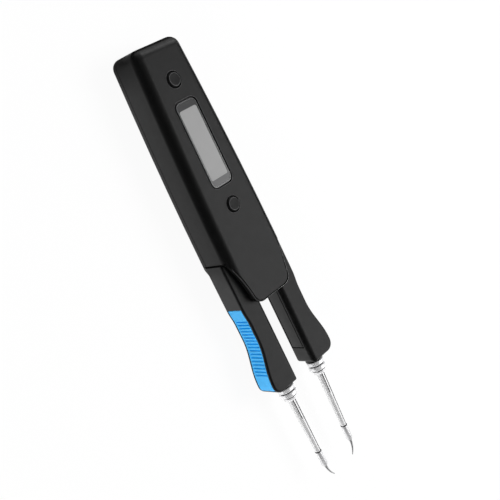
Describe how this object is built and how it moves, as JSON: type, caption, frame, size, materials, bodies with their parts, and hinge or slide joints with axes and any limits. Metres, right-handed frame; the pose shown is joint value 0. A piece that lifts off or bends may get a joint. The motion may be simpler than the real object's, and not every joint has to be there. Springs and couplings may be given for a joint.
{
  "type": "soldering tweezers",
  "caption": "Hand-held electric soldering tweezers: slim wedge body with a display and buttons, hinged sprung arms with ribbed grips, and plug-in heated cartridges with bent needle tips.",
  "frame": {"origin": "under the middle of the whole length, on the rear face that the tool lies on", "axes": "+Z out of the display face, +Y towards the tail, X across the two arms"},
  "size_m": [0.0314, 0.1623, 0.0158],
  "materials": {
    "shell_black": "fine matte moulded texture",
    "button_black": "smooth matte",
    "lens_smoke": "polished, tinted border with a pale window",
    "display_grey": "glossy",
    "board_green": "solder mask",
    "switch_black": "moulded",
    "steel": "drawn stainless",
    "chrome": "bright plated",
    "bit_plating": "satin plated",
    "brass": "turned",
    "grip_blue": "soft satin with cross grooves",
    "lead_red": "insulated wire"
  },
  "bodies": {
    "body": {"front_shell": "shell_black", "rear_shell": "shell_black", "display_lens": "lens_smoke", "display_panel": "display_grey", "main_board": "board_green", "upper_switch": "switch_black", "lower_switch": "switch_black", "power_inlet": "steel", "shell_screws": "steel", "left_pivot_pin": "steel", "right_pivot_pin": "steel", "return_spring": "steel"},
    "upper_button_cap": {"upper_button": "button_black"},
    "lower_button_cap": {"lower_button": "button_black"},
    "left_arm": {"left_arm_shell": "shell_black", "left_arm_cover": "shell_black", "left_grip_pad": "grip_blue", "left_tip_socket": "brass", "left_leads": "lead_red"},
    "left_cartridge": {"left_collar": "chrome", "left_tube": "steel", "left_bit": "bit_plating", "left_contact": "brass"},
    "right_arm": {"right_arm_shell": "shell_black", "right_arm_cover": "shell_black", "right_grip_pad": "grip_blue", "right_tip_socket": "brass", "right_leads": "lead_red"},
    "right_cartridge": {"right_collar": "chrome", "right_tube": "steel", "right_bit": "bit_plating", "right_contact": "brass"}
  },
  "joints": [
    {"name": "upper_button_press", "type": "slide", "parent": "body", "child": "upper_button_cap", "axis": [0, 0, -1], "range_m": [0, 0.0004], "stiffness_N_per_m": 1500, "springref_m": -0.0003},
    {"name": "lower_button_press", "type": "slide", "parent": "body", "child": "lower_button_cap", "axis": [0, 0, -1], "range_m": [0, 0.0004], "stiffness_N_per_m": 1500, "springref_m": -0.0003},
    {"name": "left_arm_hinge", "type": "hinge", "parent": "body", "child": "left_arm", "pos_m": [-0.0069, 0.01607, 0.0075], "axis": [0, 0, 1], "range_deg": [0, 3.1], "stiffness_Nm_per_rad": 0.4, "springref_deg": -5.73},
    {"name": "left_cartridge_turn", "type": "hinge", "parent": "left_arm", "child": "left_cartridge", "pos_m": [-0.0084, -0.04033, 0.0075], "axis": [0.0244, -0.9997, 0], "continuous": true},
    {"name": "right_arm_hinge", "type": "hinge", "parent": "body", "child": "right_arm", "pos_m": [0.0069, 0.01607, 0.0075], "axis": [0, 0, -1], "range_deg": [0, 3.1], "stiffness_Nm_per_rad": 0.4, "springref_deg": -5.73},
    {"name": "right_cartridge_turn", "type": "hinge", "parent": "right_arm", "child": "right_cartridge", "pos_m": [0.0084, -0.04033, 0.0075], "axis": [-0.0244, -0.9997, 0], "continuous": true}
  ]
}
